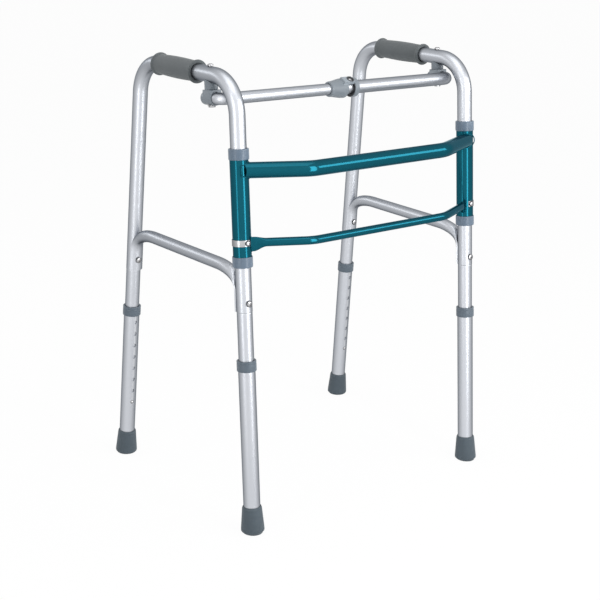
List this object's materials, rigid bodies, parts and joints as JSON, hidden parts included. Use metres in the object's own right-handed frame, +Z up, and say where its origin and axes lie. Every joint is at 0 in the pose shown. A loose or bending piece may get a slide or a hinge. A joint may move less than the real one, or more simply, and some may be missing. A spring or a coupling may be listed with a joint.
{
  "type": "folding walking frame",
  "caption": "Folding walking frame with stepping side frames, telescopic legs with rubber tips, moulded grips, two bowed front bars and a hinged top bar.",
  "frame": {"origin": "on the floor, at the middle of the four feet", "axes": "+Z up, -Y the front where the cross bars are, +X the right side as seen from the front"},
  "size_m": [0.5648, 0.4394, 0.773],
  "materials": {
    "anodised_aluminium": "satin anodised",
    "teal_paint": "gloss teal paint",
    "blue_grey_plastic": "satin moulded",
    "dark_grey_plastic": "satin moulded",
    "grey_plastic": "satin moulded",
    "grip_rubber": "matte moulded",
    "tip_rubber": "matte moulded",
    "bright_steel": "bright zinc plated"
  },
  "bodies": {
    "front_frame": {"left_sleeve": "teal_paint", "right_sleeve": "teal_paint", "upper_cross_bar": "teal_paint", "lower_cross_bar": "teal_paint", "left_lock_strap": "bright_steel", "right_lock_strap": "bright_steel"},
    "left_bushes": {"left_lower_collar": "blue_grey_plastic", "left_upper_collar": "blue_grey_plastic"},
    "left_side_frame": {"left_frame_tube": "anodised_aluminium", "left_front_inner_leg": "anodised_aluminium", "left_rear_inner_leg": "anodised_aluminium", "left_brace": "anodised_aluminium", "left_front_brace_screw": "bright_steel", "left_rear_brace_screw": "bright_steel", "left_grip": "grip_rubber", "left_spacer": "grey_plastic"},
    "left_front_leg": {"left_front_leg_tube": "anodised_aluminium", "left_front_leg_collar": "dark_grey_plastic", "left_front_tip": "tip_rubber"},
    "left_front_button": {"left_front_snap_button": "bright_steel"},
    "left_rear_leg": {"left_rear_leg_tube": "anodised_aluminium", "left_rear_leg_collar": "dark_grey_plastic", "left_rear_tip": "tip_rubber"},
    "left_rear_button": {"left_rear_snap_button": "bright_steel"},
    "left_step_lock": {"left_lock_pin": "bright_steel"},
    "right_bushes": {"right_lower_collar": "blue_grey_plastic", "right_upper_collar": "blue_grey_plastic"},
    "right_side_frame": {"right_frame_tube": "anodised_aluminium", "right_front_inner_leg": "anodised_aluminium", "right_rear_inner_leg": "anodised_aluminium", "right_brace": "anodised_aluminium", "right_front_brace_screw": "bright_steel", "right_rear_brace_screw": "bright_steel", "right_grip": "grip_rubber", "right_spacer": "grey_plastic", "right_pivot_bolt": "bright_steel"},
    "right_front_leg": {"right_front_leg_tube": "anodised_aluminium", "right_front_leg_collar": "dark_grey_plastic", "right_front_tip": "tip_rubber"},
    "right_front_button": {"right_front_snap_button": "bright_steel"},
    "right_rear_leg": {"right_rear_leg_tube": "anodised_aluminium", "right_rear_leg_collar": "dark_grey_plastic", "right_rear_tip": "tip_rubber"},
    "right_rear_button": {"right_rear_snap_button": "bright_steel"},
    "right_step_lock": {"right_lock_pin": "bright_steel"},
    "left_pivot": {"left_pivot_bolt": "bright_steel", "left_pivot_nut": "bright_steel"},
    "left_half_bar": {"left_bar_tube": "anodised_aluminium", "left_bar_cap": "grey_plastic", "joint_housing": "grey_plastic", "hinge_pin": "bright_steel"},
    "right_half_bar": {"right_bar_tube": "anodised_aluminium", "right_bar_cap": "grey_plastic", "joint_collar": "grey_plastic", "right_pivot_nut": "bright_steel"},
    "bar_release": {"release_button": "bright_steel"}
  },
  "joints": [
    {"name": "step", "type": "hinge", "parent": "front_frame", "child": "left_bushes", "pos_m": [-0.2517, -0.19975, 0], "axis": [0, -0.082, -0.9966], "range_deg": [-12, 12]},
    {"name": "fold", "type": "hinge", "parent": "left_bushes", "child": "left_side_frame", "pos_m": [-0.2517, -0.19975, 0], "axis": [0, -0.082, -0.9966], "range_deg": [0, 78]},
    {"name": "right_step", "type": "hinge", "parent": "front_frame", "child": "right_bushes", "pos_m": [0.2517, -0.19975, 0], "axis": [0, -0.082, -0.9966], "range_deg": [-12, 12]},
    {"name": "right_fold", "type": "hinge", "parent": "right_bushes", "child": "right_side_frame", "pos_m": [0.2517, -0.19975, 0], "axis": [0, 0.082, 0.9966], "range_deg": [0, 58.5]},
    {"name": "left_front_height", "type": "slide", "parent": "left_side_frame", "child": "left_front_leg", "axis": [0, -0.082, -0.9966], "range_m": [0, 0.138]},
    {"name": "left_front_press", "type": "slide", "parent": "left_side_frame", "child": "left_front_button", "axis": [0, -0.9966, 0.082], "range_m": [0, 0.004], "stiffness_N_per_m": 600, "springref_m": -0.002},
    {"name": "left_rear_height", "type": "slide", "parent": "left_side_frame", "child": "left_rear_leg", "axis": [-0.0143, 0.0708, -0.9974], "range_m": [0, 0.138]},
    {"name": "left_rear_press", "type": "slide", "parent": "left_side_frame", "child": "left_rear_button", "axis": [0.001, 0.9975, 0.0708], "range_m": [0, 0.004], "stiffness_N_per_m": 600, "springref_m": -0.002},
    {"name": "left_lock_pull", "type": "slide", "parent": "front_frame", "child": "left_step_lock", "axis": [0, -0.9966, 0.082], "range_m": [0, 0.003], "stiffness_N_per_m": 600, "springref_m": -0.002},
    {"name": "right_front_height", "type": "slide", "parent": "right_side_frame", "child": "right_front_leg", "axis": [0, -0.082, -0.9966], "range_m": [0, 0.138]},
    {"name": "right_front_press", "type": "slide", "parent": "right_side_frame", "child": "right_front_button", "axis": [0, -0.9966, 0.082], "range_m": [0, 0.004], "stiffness_N_per_m": 600, "springref_m": -0.002},
    {"name": "right_rear_height", "type": "slide", "parent": "right_side_frame", "child": "right_rear_leg", "axis": [0.0143, 0.0708, -0.9974], "range_m": [0, 0.138]},
    {"name": "right_rear_press", "type": "slide", "parent": "right_side_frame", "child": "right_rear_button", "axis": [-0.001, 0.9975, 0.0708], "range_m": [0, 0.004], "stiffness_N_per_m": 600, "springref_m": -0.002},
    {"name": "right_lock_pull", "type": "slide", "parent": "front_frame", "child": "right_step_lock", "axis": [0, -0.9966, 0.082], "range_m": [0, 0.003], "stiffness_N_per_m": 600, "springref_m": -0.002},
    {"name": "left_pivot_turn", "type": "hinge", "parent": "left_side_frame", "child": "left_pivot", "pos_m": [-0.2517, -0.07089, 0.7152], "axis": [0, 0.082, 0.9966], "range_deg": [-12, 12]},
    {"name": "left_bar_turn", "type": "hinge", "parent": "left_pivot", "child": "left_half_bar", "pos_m": [-0.2517, -0.07089, 0.7152], "axis": [0, 0.082, 0.9966], "range_deg": [0, 44.5]},
    {"name": "bar_joint_turn", "type": "hinge", "parent": "left_half_bar", "child": "right_half_bar", "pos_m": [0.0066, -0.08185, 0.7161], "axis": [0, 0.082, 0.9966], "range_deg": [0, 81.9]},
    {"name": "bar_release_press", "type": "slide", "parent": "left_half_bar", "child": "bar_release", "axis": [0, 0.5194, -0.8545], "range_m": [0, 0.0018], "stiffness_N_per_m": 600, "springref_m": -0.002}
  ],
  "couplings": [
    {"joint": "right_step", "follows": "step", "ratio": 1},
    {"joint": "left_pivot_turn", "follows": "step", "ratio": 1},
    {"joint": "right_fold", "follows": "fold", "ratio": 0.75},
    {"joint": "left_bar_turn", "follows": "fold", "ratio": 0.57},
    {"joint": "bar_joint_turn", "follows": "fold", "ratio": 1.05}
  ]
}
